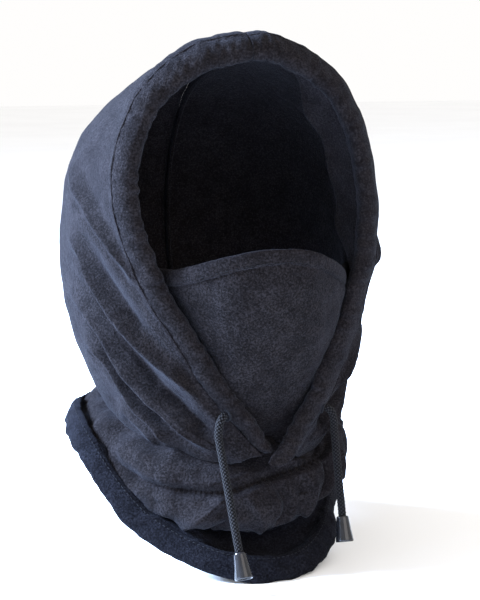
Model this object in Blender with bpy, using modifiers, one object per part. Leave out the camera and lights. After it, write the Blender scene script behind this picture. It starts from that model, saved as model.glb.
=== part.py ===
"""A hooded fleece balaclava with a pull-down face mask, a drawcord and a shoulder bib, standing as worn.

Metres, +Z up. The face looks along -Y, and the wearer's right side is at -X.
The origin is the middle of the head, between the ears.
"""

import math

import bmesh
import bpy
from mathutils import Vector

# ---- Driving dimensions -------------------------------------------------------------------
FLEECE = 0.0032  # one layer of fleece
GAP = 0.0006  # clearance between pieces that are sewn together

# The hood is a fan of hoops that all start at the throat. Hoop 0 frames the face, and the last one
# rings the neck. These are the hoops' tops along the centre seam, from forehead to nape: (y, z).
CENTRE_SEAM = [
    (-0.069, 0.131),
    (-0.036, 0.131),
    (0.015, 0.124),
    (0.070, 0.098),
    (0.104, 0.048),
    (0.110, -0.012),
    (0.094, -0.068),
    (0.080, -0.108),
]
HOOP_HALF_WIDTHS = [0.086, 0.091, 0.099, 0.103, 0.103, 0.098, 0.088, 0.077]
HOOP_POINTEDNESS = [0.72, 0.66, 0.54, 0.42, 0.3, 0.18, 0.08, 0.0]
RIGHT_LEAN = [0.0, 0.0005, 0.0065, 0.0118, 0.0142, 0.0132, 0.0098, 0.0070]  # see lean()
THROAT_FRONT = (-0.107, -0.141)  # where the face hoop ends, (y, z)
THROAT_BACK = (-0.086, -0.142)  # where the neck ring ends
FACE_SETBACK = 0.018  # how far the face hoop's sides lie behind its two ends
PANEL_LOW_ANGLE = math.radians(154)

TUNNEL_BACK = 0.050  # the tunnel's middle, as a share of the way from face hoop to neck ring
TUNNEL_HALF_WIDTH = 0.0145
TUNNEL_HALF_DEPTH = 0.0072
TUNNEL_TAPER_FROM = 0.45  # it narrows from this share of its length to its end
TUNNEL_END_SCALE = 0.62  # the tunnel is flattened where its ends cross at the throat
TUNNEL_TOP_ANGLE = 0.006  # the halves stop this far from the crown, in radians
TUNNEL_END_ANGLE = math.radians(173)
TUNNEL_RIGHT_END_ANGLE = math.radians(160)  # the right half ends under the left one
TUNNEL_CROSSING = {"right": 0.0078, "left": -0.0139}  # how far back each end lies as they cross
TUNNEL_OVERLAP = 0.0065  # how much further the left end reaches over the right one

CORD_RADIUS = 0.0025
EYELET_ANGLE = math.radians(138)  # how far down the face hoop the cord comes out
EYELET_SHIFT = 0.40  # towards the hood, as a share of the tunnel's half width
EYELET_HOLE = CORD_RADIUS + 0.0008
EYELET_THREAD = 0.0010
CORD_CLEAR = 0.0022  # the free cord starts this far outside the tunnel
BELL_TOPS = {"right": (-0.0345, -0.1285, -0.1900), "left": (0.0460, -0.1130, -0.1790)}

BELL_LENGTH = 0.0165
BELL_TOP_RADIUS = 0.0038
BELL_BOTTOM_RADIUS = 0.0060
BELL_WALL = 0.0010
KNOT_RADIUS = 0.0036
KNOT_DEPTH = 0.0092  # below the bell's top

# The mask's section seen from above, from the nose round to where it is sewn in. Each pair is
# a share of the half width and a share of the depth.
MASK_SECTION = [(0.0, 0.0), (0.27, 0.045), (0.52, 0.19), (0.70, 0.42), (0.80, 0.66), (1.0, 1.0)]
MASK_TOP_Z = -0.004
MASK_BOTTOM_Z = -0.1325
MASK_NOSE_LIFT = 0.006  # the top edge is higher over the nose
MASK_FRONTS = [-0.1130, -0.1110, -0.1035, -0.0915, -0.0690]  # y down the middle, from top to bottom
MASK_SEWN_BACK = (0.16, 0.03)  # where it meets the hood, top and bottom: this share behind the tunnel
MASK_RIGHT_INSET = 0.7  # and this much more of the lean on the right
MASK_INSET = 0.0075  # its sewn edge lies this far inside the hood's outer face
HEM_HALF_HEIGHT = 0.0052
HEM_HALF_DEPTH = 0.0031
HEM_WALL = 0.0018
ELASTIC_HALF_HEIGHT = 0.0026
ELASTIC_HALF_DEPTH = 0.0007

# The neck and the bib, in eight directions round the neck, from the front towards the left.
NECK_CENTRE_Y = -0.002
NECK_RADII = (0.076, 0.083)  # sideways and fore-and-aft
BULGE = [0.017, 0.015, 0.011, 0.010, 0.010, 0.012, 0.014, 0.017]  # how far the gathers stand out
WAIST_Z = [-0.176, -0.168, -0.156, -0.147, -0.140, -0.134, -0.134, -0.162]
WAIST_OUT = 0.003
NECK_TOP_GAP = 0.0042  # the neck panels start this far below the hood's lower edge
NECK_FRONT_RISE = 0.0092  # under the chin they rise behind the crossed tunnels
NECK_FRONT_TUCK = 0.0095
RIM_Z = [-0.197, -0.182, -0.171, -0.158, -0.145, -0.133, -0.132, -0.179]
RIM_RADIUS = [0.110, 0.088, 0.087, 0.093, 0.100, 0.101, 0.098, 0.097]
BIB_HEM_HALF_HEIGHT = 0.0080
BIB_HEM_HALF_DEPTH = 0.0033

SEGMENTS_ROUND = 16


# ---- Small mathematics --------------------------------------------------------------------
def smooth_through(values, share):
    """A Catmull-Rom curve through evenly spaced values (numbers or tuples), at share 0 to 1."""
    single = isinstance(values[0], (int, float))
    points = [Vector((v, 0, 0)) if single else Vector((*v, 0)[:3]) for v in values]
    at = min(max(share, 0.0), 1.0) * (len(points) - 1)
    i = min(int(at), len(points) - 2)
    f = at - i
    before = points[i - 1] if i else points[0] * 2 - points[1]
    after = points[i + 2] if i + 2 < len(points) else points[-1] * 2 - points[-2]
    a, b = points[i], points[i + 1]
    found = 0.5 * (
        2 * a
        + (b - before) * f
        + (2 * before - 5 * a + 4 * b - after) * f**2
        + (3 * a - before - 3 * b + after) * f**3
    )
    return found.x if single else found


def round_value(values, turn):
    """A smooth value round a ring, from values at even steps. Turn 0 is the front, and 0.25 the left."""
    count = len(values)
    at = (turn % 1.0) * count
    i = int(at)
    near = [values[(i + step) % count] for step in (-1, 0, 1, 2)]
    return smooth_through(near, (1 + at - i) / 3)


def lerp(a, b, share):
    return a + (b - a) * share


# ---- The hood's surface -------------------------------------------------------------------
def hoop_width(pointedness, angle):
    """The half width of a hoop as a share of its widest, at an angle from its top (0) to the throat (pi)."""
    p = pointedness
    widest = 2 * math.sqrt(1 / (2 + p)) * ((1 + p) / (2 + p)) ** ((1 + p) / 2)
    return math.sin(angle) * math.cos(angle / 2) ** p / widest


def lean(back, angle):
    """How far the wearer's right side is pulled in at the cheek: RIGHT_LEAN runs from 60 to 172 degrees."""
    fade = min(max((back - 0.08) / 0.37, 0.0), 1.0)
    amount = smooth_through(RIGHT_LEAN, (math.degrees(angle) - 60) / 112)
    return max(0.0, amount) * (1 - fade * fade * (3 - 2 * fade))


def hood_point(back, angle, side):
    """A point of the hood's outer face: back 0 at the face hoop to 1 at the neck ring."""
    top = smooth_through(CENTRE_SEAM, back)
    throat = Vector((*THROAT_FRONT, 0)).lerp(Vector((*THROAT_BACK, 0)), back)
    height = (1 + math.cos(angle)) / 2
    y, z, _ = throat.lerp(top, height)
    y += FACE_SETBACK * max(0.0, 1 - 2 * back) * math.sin(angle)
    half = smooth_through(HOOP_HALF_WIDTHS, back)
    x = half * hoop_width(smooth_through(HOOP_POINTEDNESS, back), angle)
    if side < 0:
        return Vector((lean(back, angle) - x, y, z))
    return Vector((x, y, z))


def hood_frame(back, angle, side):
    """(point, direction towards the back of the head, outward normal) on the hood."""
    step = 0.01
    here = hood_point(back, angle, side)
    rearward = (hood_point(back + step, angle, side) - here).normalized()
    lower, higher = max(angle - step, 0.001), min(angle + step, math.pi - 0.001)
    along = hood_point(back, higher, side) - hood_point(back, lower, side)
    normal = along.cross(rearward).normalized() * side
    return here, rearward, normal


# ---- Blender helpers ----------------------------------------------------------------------
def material(name, colour, roughness, metallic=0.0):
    made = bpy.data.materials.new(name)
    made.use_nodes = True
    shader = made.node_tree.nodes["Principled BSDF"]
    shader.inputs["Base Color"].default_value = (*colour, 1)
    shader.inputs["Roughness"].default_value = roughness
    shader.inputs["Metallic"].default_value = metallic
    return made


def add_object(name, data, mat, folder):
    made = bpy.data.objects.new(name, data)
    folder.objects.link(made)
    if mat:
        data.materials.append(mat)
    return made


def shade(obj):
    obj.data.shade_smooth()
    obj.data.set_sharp_from_angle(angle=math.radians(40))


def mapped_grid(name, surface, across, along, mat, folder, wraps=False):
    """A grid of across by along cells whose points are surface(u, v), with u and v from 0 to 1."""
    bm = bmesh.new()
    bmesh.ops.create_grid(bm, x_segments=across, y_segments=along, size=0.5)
    for vert in bm.verts:
        vert.co = surface(vert.co.x + 0.5, vert.co.y + 0.5)
    if wraps:
        bmesh.ops.remove_doubles(bm, verts=bm.verts, dist=1e-6)
    mesh = bpy.data.meshes.new(name)
    bm.to_mesh(mesh)
    bm.free()
    made = add_object(name, mesh, mat, folder)
    shade(made)
    return made


def thicken(obj, thickness, even=True):
    """Gives a sheet its thickness, inwards. Even keeps it at sharp bends, but not where cloth doubles back."""
    solid = obj.modifiers.new("cloth", "SOLIDIFY")
    solid.thickness = thickness
    solid.offset = -1.0
    solid.use_even_offset = even
    return obj


def casing(name, frame_at, sizes, cells, mat, taper=None, turned_over=False):
    """A flat fabric tube. frame_at(v) gives (centre, width direction, depth direction)."""
    half_width, half_depth, wall = sizes

    def surface(u, v):
        centre, wide, deep = frame_at(v)
        scale = taper(v) if taper else 1.0
        turn = 2 * math.pi * u
        return (
            centre
            + wide * (half_width * scale * math.cos(turn))
            + deep * (half_depth * (1 + scale) / 2 * math.sin(turn))
        )

    tube = mapped_grid(name, surface, *cells, mat, BALACLAVA, wraps=True)
    if turned_over:
        faces_out(tube)
    return thicken(tube, wall)


def faces_out(obj):
    """Turns the faces of an open sheet round if its first modifier would thicken it the wrong way."""
    obj.data.flip_normals()
    return obj


def cord(name, points, radius, mat, folder):
    """A round cord along points."""
    data = bpy.data.curves.new(name, "CURVE")
    data.dimensions = "3D"
    spline = data.splines.new("POLY")
    spline.points.add(len(points) - 1)
    for knot, place in zip(spline.points, points):
        knot.co = (*place, 1)
    data.bevel_depth = radius
    data.bevel_resolution = 2
    data.use_fill_caps = True
    return add_object(name, data, mat, folder)


def turned(name, profile, mat, folder):
    """A closed ring section, (radius, height) points, turned about the object's own Z."""
    bm = bmesh.new()
    ring = [bm.verts.new((radius, 0, height)) for radius, height in profile]
    for here, there in zip(ring, ring[1:] + ring[:1]):
        bm.edges.new((here, there))
    mesh = bpy.data.meshes.new(name)
    bm.to_mesh(mesh)
    bm.free()
    made = add_object(name, mesh, mat, folder)
    screw = made.modifiers.new("turn", "SCREW")
    screw.steps = screw.render_steps = SEGMENTS_ROUND
    screw.use_merge_vertices = True
    screw.merge_threshold = 0.00001
    screw.use_smooth_shade = True
    return made


# ---- Set-up -------------------------------------------------------------------------------
for old in list(bpy.data.objects):
    bpy.data.objects.remove(old, do_unlink=True)
BALACLAVA = bpy.data.collections.new("balaclava")
CUTTERS = bpy.data.collections.new("cutters")
for group in (BALACLAVA, CUTTERS):
    bpy.context.scene.collection.children.link(group)

fleece = material("fleece", (0.040, 0.042, 0.056), 0.95)
thread = material("thread", (0.030, 0.031, 0.038), 0.7)
elastic = material("elastic", (0.05, 0.05, 0.055), 0.8)
braid = material("braid", (0.035, 0.036, 0.040), 0.75)
plastic = material("black_plastic", (0.012, 0.012, 0.014), 0.22)

SIDES = {"right": -1, "left": 1}


# ---- Hood panels --------------------------------------------------------------------------
def tunnel_scale(angle):
    past = max(0.0, angle / TUNNEL_END_ANGLE - TUNNEL_TAPER_FROM) / (1 - TUNNEL_TAPER_FROM)
    return lerp(1.0, TUNNEL_END_SCALE, past)


def panel_start(angle, side=1):
    """How far back the hood panels start at an angle: just behind the tunnel's rear edge."""
    middle = hood_point(TUNNEL_BACK, angle, side)
    clear = TUNNEL_HALF_WIDTH * tunnel_scale(angle) + GAP
    low, high = TUNNEL_BACK, 1.0
    for _ in range(30):
        half = (low + high) / 2
        if (hood_point(half, angle, side) - middle).length < clear:
            low = half
        else:
            high = half
    return high


def make_hood_panel(word, side):
    def surface(u, v):
        angle = PANEL_LOW_ANGLE * v
        point = hood_point(lerp(panel_start(angle, side), 1, u), angle, side)
        point.x += side * GAP / 2
        return point

    panel = mapped_grid(f"hood_panel_{word}", surface, 16, 20, fleece, BALACLAVA)
    if side > 0:
        faces_out(panel)
    return thicken(panel, FLEECE)


for word, side in SIDES.items():
    make_hood_panel(word, side)


# ---- Centre seam: the two panels' edges, sewn together on the inside ------------------------
def seam_frame(v):
    back = lerp(panel_start(0) + 0.01, 0.99, v)
    here = hood_point(back, 0.0, 1)
    ahead = hood_point(back + 0.01, 0.0, 1)
    along = (ahead - here).normalized()
    inward = along.cross(Vector((1, 0, 0)))
    if inward.dot(here - Vector((0, 0, -0.02))) > 0:
        inward = -inward
    return here + inward * (FLEECE + GAP + 0.0034), inward


def seam_surface(u, v):
    centre, inward = seam_frame(v)
    turn = 2 * math.pi * u
    return centre + Vector((0.0016 * math.cos(turn), 0, 0)) + inward * (0.0030 * math.sin(turn))


def closed_band(name, surface, around, along, mat):
    """A solid strip: a flat tube whose two ends are filled."""
    band = mapped_grid(name, surface, around, along, mat, BALACLAVA, wraps=True)
    bm = bmesh.new()
    bm.from_mesh(band.data)
    bmesh.ops.holes_fill(bm, edges=[e for e in bm.edges if e.is_boundary], sides=0)
    bmesh.ops.recalc_face_normals(bm, faces=bm.faces)
    bm.to_mesh(band.data)
    bm.free()
    shade(band)
    return band


closed_band("centre_seam", seam_surface, 8, 40, thread)


# ---- Face tunnel, in two halves that meet at the crown and cross at the throat ---------------
def tunnel_centre(angle, word):
    side = SIDES[word]
    here, rearward, normal = hood_frame(TUNNEL_BACK, angle, side)
    low = max(0.0, (angle - math.radians(140)) / math.radians(33))
    here.y += TUNNEL_CROSSING[word] * min(low, 1.0) ** 1.4
    if side > 0:
        here.x -= TUNNEL_OVERLAP * min(low, 1.0) ** 3
    return here, rearward, normal


def make_tunnel(word, side):
    end = TUNNEL_END_ANGLE if side > 0 else TUNNEL_RIGHT_END_ANGLE

    def frame_at(v):
        return tunnel_centre(max(TUNNEL_TOP_ANGLE, end * v), word)

    name = f"face_tunnel_{word}"
    sizes = (TUNNEL_HALF_WIDTH, TUNNEL_HALF_DEPTH, FLEECE)
    return casing(name, frame_at, sizes, (12, 36), fleece, lambda v: tunnel_scale(end * v), side < 0)


def eyelet_place(word):
    """(the place on the tunnel's outer face, the direction out of it)"""
    centre, rearward, normal = tunnel_centre(EYELET_ANGLE, word)
    scale = tunnel_scale(EYELET_ANGLE)
    half_width, half_depth = TUNNEL_HALF_WIDTH * scale, TUNNEL_HALF_DEPTH * (1 + scale) / 2
    rise = math.sqrt(1 - EYELET_SHIFT**2)
    place = centre + rearward * (EYELET_SHIFT * half_width) + normal * (rise * half_depth * 0.98)
    outward = rearward * (EYELET_SHIFT / half_width) + normal * (rise / half_depth)
    return place, outward.normalized()


def rod(name, place, direction, radius, length, mat, folder):
    bm = bmesh.new()
    bmesh.ops.create_cone(
        bm, cap_ends=True, segments=SEGMENTS_ROUND, radius1=radius, radius2=radius, depth=length
    )
    mesh = bpy.data.meshes.new(name)
    bm.to_mesh(mesh)
    bm.free()
    made = add_object(name, mesh, mat, folder)
    aim(made, place, direction)
    return made


def aim(obj, place, direction):
    """Puts an object at place, with its own +Z along direction."""
    obj.location = place
    obj.rotation_mode = "QUATERNION"
    obj.rotation_quaternion = direction.to_track_quat("Z", "Y")


def cut(obj, cutter):
    boolean = obj.modifiers.new("hole", "BOOLEAN")
    boolean.operation = "DIFFERENCE"
    boolean.solver = "EXACT"
    boolean.object = cutter
    cutter.hide_render = True
    cutter.display_type = "WIRE"


for word, side in SIDES.items():
    tunnel = make_tunnel(word, side)
    place, outward = eyelet_place(word)
    cut(tunnel, rod(f"eyelet_cut_{word}", place, outward, EYELET_HOLE, 0.009, None, CUTTERS))


# ---- Drawcord: a run inside the tunnel, and two free ends that hang from the eyelets ---------
def run_point(share):
    """The run inside the tunnel, from the right eyelet (-1) over the crown (0) to the left one (+1)."""
    word = "right" if share < 0 else "left"
    angle = max(0.003, abs(share) * (EYELET_ANGLE - math.radians(3)))
    centre, rearward, _ = tunnel_centre(angle, word)
    low = max(0.0, (angle - math.radians(120)) / math.radians(25))
    return centre + rearward * (0.0015 * low)


cord("drawcord_run", [run_point(i / 26 - 1) for i in range(53)], CORD_RADIUS, braid, BALACLAVA)


def ring_section(middle, half_width, half_height, steps=10):
    turns = [-2 * math.pi * i / steps for i in range(steps)]
    return [(middle + half_width * math.cos(a), half_height * math.sin(a)) for a in turns]


def bezier(a, b, c, d, share):
    rest = 1 - share
    return a * rest**3 + b * (3 * rest * rest * share) + c * (3 * rest * share**2) + d * share**3


def cord_path(word):
    """The free end, from just outside its eyelet down to the top of its bell."""
    place, outward = eyelet_place(word)
    start = place + outward * CORD_CLEAR
    top = Vector(BELL_TOPS[word])
    knee = start + outward * 0.006 + Vector((0, 0, -0.014))
    bend = (start, start + outward * 0.007, knee + (knee - top) * 0.05, knee)
    curve = [bezier(*bend, i / 8) for i in range(9)]
    straight = [knee.lerp(top, i / 14) for i in range(1, 15)]
    return curve + straight, (knee - top).normalized()


BELL_PROFILE = [
    (CORD_RADIUS + 0.0003, 0.0006),
    (BELL_TOP_RADIUS, 0.0006),
    (BELL_TOP_RADIUS + 0.0002, 0.0),
    (lerp(BELL_TOP_RADIUS, BELL_BOTTOM_RADIUS, 0.42), -BELL_LENGTH * 0.5),
    (BELL_BOTTOM_RADIUS, -BELL_LENGTH * 0.94),
    (BELL_BOTTOM_RADIUS - 0.0003, -BELL_LENGTH),
    (BELL_BOTTOM_RADIUS - BELL_WALL, -BELL_LENGTH),
    (BELL_BOTTOM_RADIUS - BELL_WALL, -BELL_LENGTH * 0.92),
    (KNOT_RADIUS + 0.0006, -0.0052),
    (CORD_RADIUS + 0.0003, -0.0036),
]


def ball(name, radius, mat, folder):
    bm = bmesh.new()
    bmesh.ops.create_icosphere(bm, subdivisions=2, radius=radius)
    mesh = bpy.data.meshes.new(name)
    bm.to_mesh(mesh)
    bm.free()
    made = add_object(name, mesh, mat, folder)
    shade(made)
    return made


def make_cord_end(word):
    """The eyelet, the free cord, and the bell and knot at its end. The cord swings about the eyelet."""
    path, upward = cord_path(word)
    place, outward = eyelet_place(word)
    top = path[-1]
    cord(f"drawcord_{word}", path, CORD_RADIUS, braid, BALACLAVA)
    section = ring_section(EYELET_HOLE + 0.0013, 0.0012, EYELET_THREAD)
    eyelet = turned(f"eyelet_{word}", section, thread, BALACLAVA)
    aim(eyelet, place + outward * (EYELET_THREAD + GAP), outward)
    aim(turned(f"cord_bell_{word}", BELL_PROFILE, plastic, BALACLAVA), top, upward)
    aim(ball(f"cord_knot_{word}", KNOT_RADIUS, braid, BALACLAVA), top - upward * KNOT_DEPTH, upward)


for word in SIDES:
    make_cord_end(word)


# ---- Face mask: a panel sewn in at both sides, with an elastic in its top hem ----------------
def angle_at_height(back, z):
    """The hoop angle at which the hood's surface is at a height."""
    top = smooth_through(CENTRE_SEAM, back).y
    low = lerp(THROAT_FRONT[1], THROAT_BACK[1], back)
    height = min(max((z - low) / (top - low), 0.002), 1)
    return math.acos(2 * height - 1)


def mask_point(across, down):
    """A point of the mask's outer face: across -1 to 1, and down 0 at the top edge to 1."""
    s = abs(across)
    side = 1 if across >= 0 else -1
    z = lerp(MASK_TOP_Z, MASK_BOTTOM_Z, down)
    start = panel_start(angle_at_height(0.1, z), side)
    back = start + lerp(*MASK_SEWN_BACK, min(1, 1.5 * down))
    sewn, _, normal = hood_frame(back, angle_at_height(back, z), side)
    sewn -= normal * MASK_INSET
    if side < 0:
        angle = angle_at_height(back, z)
        whole = lean(TUNNEL_BACK, angle)
        sewn.x += (1 + MASK_RIGHT_INSET) * whole - lean(back, angle)
    width, depth, _ = smooth_through(MASK_SECTION, s)
    front = smooth_through(MASK_FRONTS, down)
    lift = MASK_NOSE_LIFT * (1 - down) * math.cos(min(1.0, 1.6 * s) * math.pi / 2)
    return Vector((sewn.x * width, lerp(front, sewn.y, depth), z + lift))


HEM_DROP = 2 * HEM_HALF_HEIGHT / (MASK_TOP_Z - MASK_BOTTOM_Z)  # the panel starts below the hem


def panel_surface(u, v):
    return mask_point(2 * u - 1, lerp(HEM_DROP + 0.006, 1, v))


thicken(faces_out(mapped_grid("mask_panel", panel_surface, 24, 14, fleece, BALACLAVA)), FLEECE * 0.9)


def hem_frame(v):
    across = lerp(-0.985, 0.985, v)
    step = 0.01
    here = mask_point(across, HEM_DROP / 2)
    along = (mask_point(across + step, HEM_DROP / 2) - mask_point(across - step, HEM_DROP / 2)).normalized()
    up = Vector((0, 0, 1))
    up = (up - along * up.dot(along)).normalized()
    outward = along.cross(up).normalized()
    return here - outward * (FLEECE * 0.45), up, outward


casing("mask_hem", hem_frame, (HEM_HALF_HEIGHT, HEM_HALF_DEPTH, HEM_WALL), (10, 36), fleece)


def elastic_surface(u, v):
    centre, up, outward = hem_frame(lerp(0.006, 0.994, v))
    turn = 2 * math.pi * u
    raised = ELASTIC_HALF_HEIGHT * math.cos(turn)
    return centre + up * raised + outward * (ELASTIC_HALF_DEPTH * math.sin(turn))


closed_band("mask_elastic", elastic_surface, 8, 36, elastic)


# ---- Neck and bib -------------------------------------------------------------------------
def neck_point(turn, down):
    """A point of the neck panels' outer face: down 0 at the hood, 4/7 at the waist, 1 at the bib's rim."""
    bearing = 2 * math.pi * turn
    out_x, out_y = math.sin(bearing), -math.cos(bearing)
    ring = Vector((NECK_RADII[0] * out_x, NECK_CENTRE_Y + NECK_RADII[1] * out_y, 0))
    top_z = lerp(THROAT_BACK[1], CENTRE_SEAM[-1][1], (1 - math.cos(bearing)) / 2) - NECK_TOP_GAP
    chin = max(0.0, math.cos(bearing)) ** 24
    top_z += NECK_FRONT_RISE * chin
    waist_z, bulge = round_value(WAIST_Z, turn), round_value(BULGE, turn)
    rim_z, rim = round_value(RIM_Z, turn), round_value(RIM_RADIUS, turn)
    edge = Vector((rim * out_x, NECK_CENTRE_Y + rim * out_y, 0))
    outwards = Vector((out_x, out_y, 0))
    stations = [
        ring - outwards * (0.001 + NECK_FRONT_TUCK * chin),
        ring + outwards * bulge * 0.75 * (1 - 0.9 * chin),
        ring + outwards * bulge,
        ring + outwards * bulge * 0.7,
        ring + outwards * WAIST_OUT,
        ring.lerp(edge, 0.34),
        ring.lerp(edge, 0.70),
        edge,
    ]
    heights = [
        top_z,
        lerp(top_z, waist_z, 0.16),
        lerp(top_z, waist_z, 0.52),
        lerp(top_z, waist_z, 0.86),
        waist_z,
        lerp(waist_z, rim_z, 0.18),
        lerp(waist_z, rim_z, 0.50),
        rim_z,
    ]
    point = smooth_through([tuple(p)[:2] for p in stations], down)
    point.z = smooth_through(heights, down)
    return point


def make_neck_panel(word, side):
    def surface(u, v):
        return neck_point(side * lerp(0.0008, 0.4992, v), u)

    panel = mapped_grid(f"neck_panel_{word}", surface, 16, 24, fleece, BALACLAVA)
    if side > 0:
        faces_out(panel)
    return thicken(panel, FLEECE, even=False)


for word, side in SIDES.items():
    make_neck_panel(word, side)


def bib_hem_surface(u, v):
    edge = neck_point(v, 1.0)
    inner = neck_point(v, 0.97)
    hang = (edge - inner).normalized()
    hang = (hang + Vector((0, 0, -0.9))).normalized()
    bearing = 2 * math.pi * v
    around = Vector((math.cos(bearing), math.sin(bearing), 0))
    outward = hang.cross(around).normalized()
    turn = 2 * math.pi * u
    centre = edge + hang * (BIB_HEM_HALF_HEIGHT + GAP)
    lowered = BIB_HEM_HALF_HEIGHT * math.cos(turn)
    return centre + hang * lowered + outward * (BIB_HEM_HALF_DEPTH * math.sin(turn))


def closed_ring(name, surface, around, along, mat):
    """A solid ring of flat section."""
    ring = mapped_grid(name, surface, around, along, mat, BALACLAVA, wraps=True)
    bm = bmesh.new()
    bm.from_mesh(ring.data)
    bmesh.ops.recalc_face_normals(bm, faces=bm.faces)
    bm.to_mesh(ring.data)
    bm.free()
    shade(ring)
    return ring


closed_ring("bib_hem", bib_hem_surface, 10, 64, fleece)
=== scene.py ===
"""Looks for the balaclava: fleece with folds, gathers and stitching, braided cords, bells and lights.

Everything is in metres, in the row frame: +Z up, the face looks along -Y, the wearer's right is at -X.
The cloth is built from smooth parametric surfaces. Folds are ridges and valleys along given lines
on them, and small wrinkles come from seeded ripples.
"""

import math

import bpy
import numpy as np
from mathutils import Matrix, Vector


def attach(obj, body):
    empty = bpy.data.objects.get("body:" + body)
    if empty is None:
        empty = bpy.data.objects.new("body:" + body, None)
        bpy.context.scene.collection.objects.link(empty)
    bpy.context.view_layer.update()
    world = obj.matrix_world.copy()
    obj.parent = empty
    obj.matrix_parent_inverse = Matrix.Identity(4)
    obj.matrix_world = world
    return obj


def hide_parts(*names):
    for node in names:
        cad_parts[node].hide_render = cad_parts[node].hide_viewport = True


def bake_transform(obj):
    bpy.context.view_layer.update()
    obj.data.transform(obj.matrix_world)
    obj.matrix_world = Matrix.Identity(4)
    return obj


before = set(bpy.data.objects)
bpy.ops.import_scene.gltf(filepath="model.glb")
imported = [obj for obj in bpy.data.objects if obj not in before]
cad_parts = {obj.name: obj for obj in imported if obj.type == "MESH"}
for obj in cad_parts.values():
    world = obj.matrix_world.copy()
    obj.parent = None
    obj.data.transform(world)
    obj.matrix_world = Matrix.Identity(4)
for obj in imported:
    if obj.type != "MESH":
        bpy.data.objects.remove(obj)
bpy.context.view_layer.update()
SIDES = {"right": -1, "left": 1}

# ---- Main sizes, most of them the CAD's ------------------------------------------------------
# The hood is a fan of hoops that start at the throat, from the face opening back to the neck.
CENTRE_SEAM = [
    (-0.069, 0.131),
    (-0.036, 0.131),
    (0.015, 0.124),
    (0.070, 0.098),
    (0.104, 0.048),
    (0.110, -0.012),
    (0.094, -0.068),
    (0.080, -0.108),
]
HOOP_HALF_WIDTHS = [0.086, 0.091, 0.099, 0.104, 0.104, 0.099, 0.089, 0.077]
HOOP_POINTEDNESS = [0.72, 0.66, 0.54, 0.42, 0.30, 0.18, 0.08, 0.0]
RIGHT_LEAN = [0.0, 0.0005, 0.0065, 0.0118, 0.0142, 0.0132, 0.0098, 0.0070]  # see lean()
THROAT_FRONT = (-0.107, -0.141)
THROAT_BACK = (-0.086, -0.142)
FACE_SETBACK = 0.018
FLEECE = 0.0034

TUNNEL_BACK = 0.050
TUNNEL_HALF_WIDTH = 0.0140
TUNNEL_HALF_WIDTHS = {"right": 0.0110, "left": 0.0150}
TUNNEL_HALF_DEPTH = 0.0072
TUNNEL_END_SCALE = 0.62
TUNNEL_TAPER_FROM = 0.45
TUNNEL_END_ANGLE = math.radians(173)
TUNNEL_END_ANGLES = {"right": math.radians(161), "left": math.radians(168)}
TUNNEL_CROSSING = {"right": 0.0078, "left": -0.0139}
TUNNEL_OVERLAP = {"right": 0.0, "left": 0.0180}

CORD_RADIUS = 0.0025
EYELET_ANGLE = math.radians(138)
EYELET_SHIFT = 0.40
EYELET_HOLE = CORD_RADIUS + 0.0008
CORD_CLEAR = 0.0022
BELL_TOPS = {"right": (-0.0345, -0.1285, -0.1900), "left": (0.0460, -0.1130, -0.1790)}
KNOT_DEPTH = 0.0092

MASK_SECTION = [(0.0, 0.0), (0.27, 0.045), (0.52, 0.19), (0.70, 0.42), (0.80, 0.66), (1.0, 1.0)]
MASK_TOP_Z = -0.004
MASK_BOTTOM_Z = -0.1325
MASK_NOSE_LIFT = 0.0075
MASK_FRONTS = [-0.1130, -0.1110, -0.1035, -0.0915, -0.0690]
MASK_INSET = 0.0075
MASK_RIGHT_INSET = 0.7
MASK_RIGHT_INSET_LOW = -0.6  # near the throat, where it reaches under the tunnel
MASK_SAG = {"right": 0.0095, "left": 0.0165}  # how far its top edge drops towards each side
HEM_HALF_HEIGHT = 0.0052
HEM_HALF_DEPTH = 0.0022

NECK_CENTRE_Y = -0.002
NECK_RADII = (0.076, 0.083)


# ---- Curves and fields ----------------------------------------------------------------------
def curve_between(a, b, c, d, f):
    """The Catmull-Rom curve from b to c, at share f, with a and d the points beyond them."""
    return 0.5 * (
        2 * b + (c - a) * f + (2 * a - 5 * b + 4 * c - d) * f**2 + (3 * b - a - 3 * c + d) * f**3
    )


def through(values, share):
    """A Catmull-Rom curve through evenly spaced values, at an array of shares from 0 to 1."""
    points = np.asarray(values, float)
    padded = np.concatenate([[2 * points[0] - points[1]], points, [2 * points[-1] - points[-2]]])
    last = len(points) - 1
    at = np.clip(np.asarray(share, float), 0, 1) * last
    i = np.minimum(at.astype(int), last - 1)
    f = at - i
    if points.ndim > 1:
        f = f[..., None]
    a, b, c, d = (padded[i + step] for step in range(4))
    return curve_between(a, b, c, d, f)


def round_through(values, turn):
    """The same round a ring of evenly spaced values. Turn 0 is the front and 0.25 the left."""
    ring = np.concatenate([values[-1:], values, values[:2]])
    return through(ring, (np.mod(turn, 1.0) * len(values) + 1) / (len(ring) - 1))


def smooth(low, high, x):
    f = np.clip((np.asarray(x, float) - low) / (high - low), 0, 1)
    return f * f * (3 - 2 * f)


def unit(v):
    return v / np.maximum(np.linalg.norm(v, axis=-1, keepdims=True), 1e-12)


def ripple(points, size, seed, octaves=3):
    """A smooth seeded field of about -1 to 1, whose largest waves are size metres long."""
    chance = np.random.default_rng(seed)
    total = np.zeros(points.shape[:-1])
    strength = 0.0
    for octave in range(octaves):
        amount = 0.5**octave
        for _ in range(5):
            wave = unit(chance.normal(size=3)) * 2 * math.pi / (size * 0.5**octave)
            total += amount * np.sin(points @ (wave * chance.uniform(0.7, 1.3)) + chance.uniform(0, 6.3))
        strength += amount * 2.2
    return total / strength


def lengths_along(line):
    return np.concatenate([[0], np.cumsum(np.linalg.norm(np.diff(line, axis=0), axis=1))])


def interpolated(at, lengths, values):
    return np.stack([np.interp(at, lengths, values[:, k]) for k in range(3)], -1)


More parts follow.
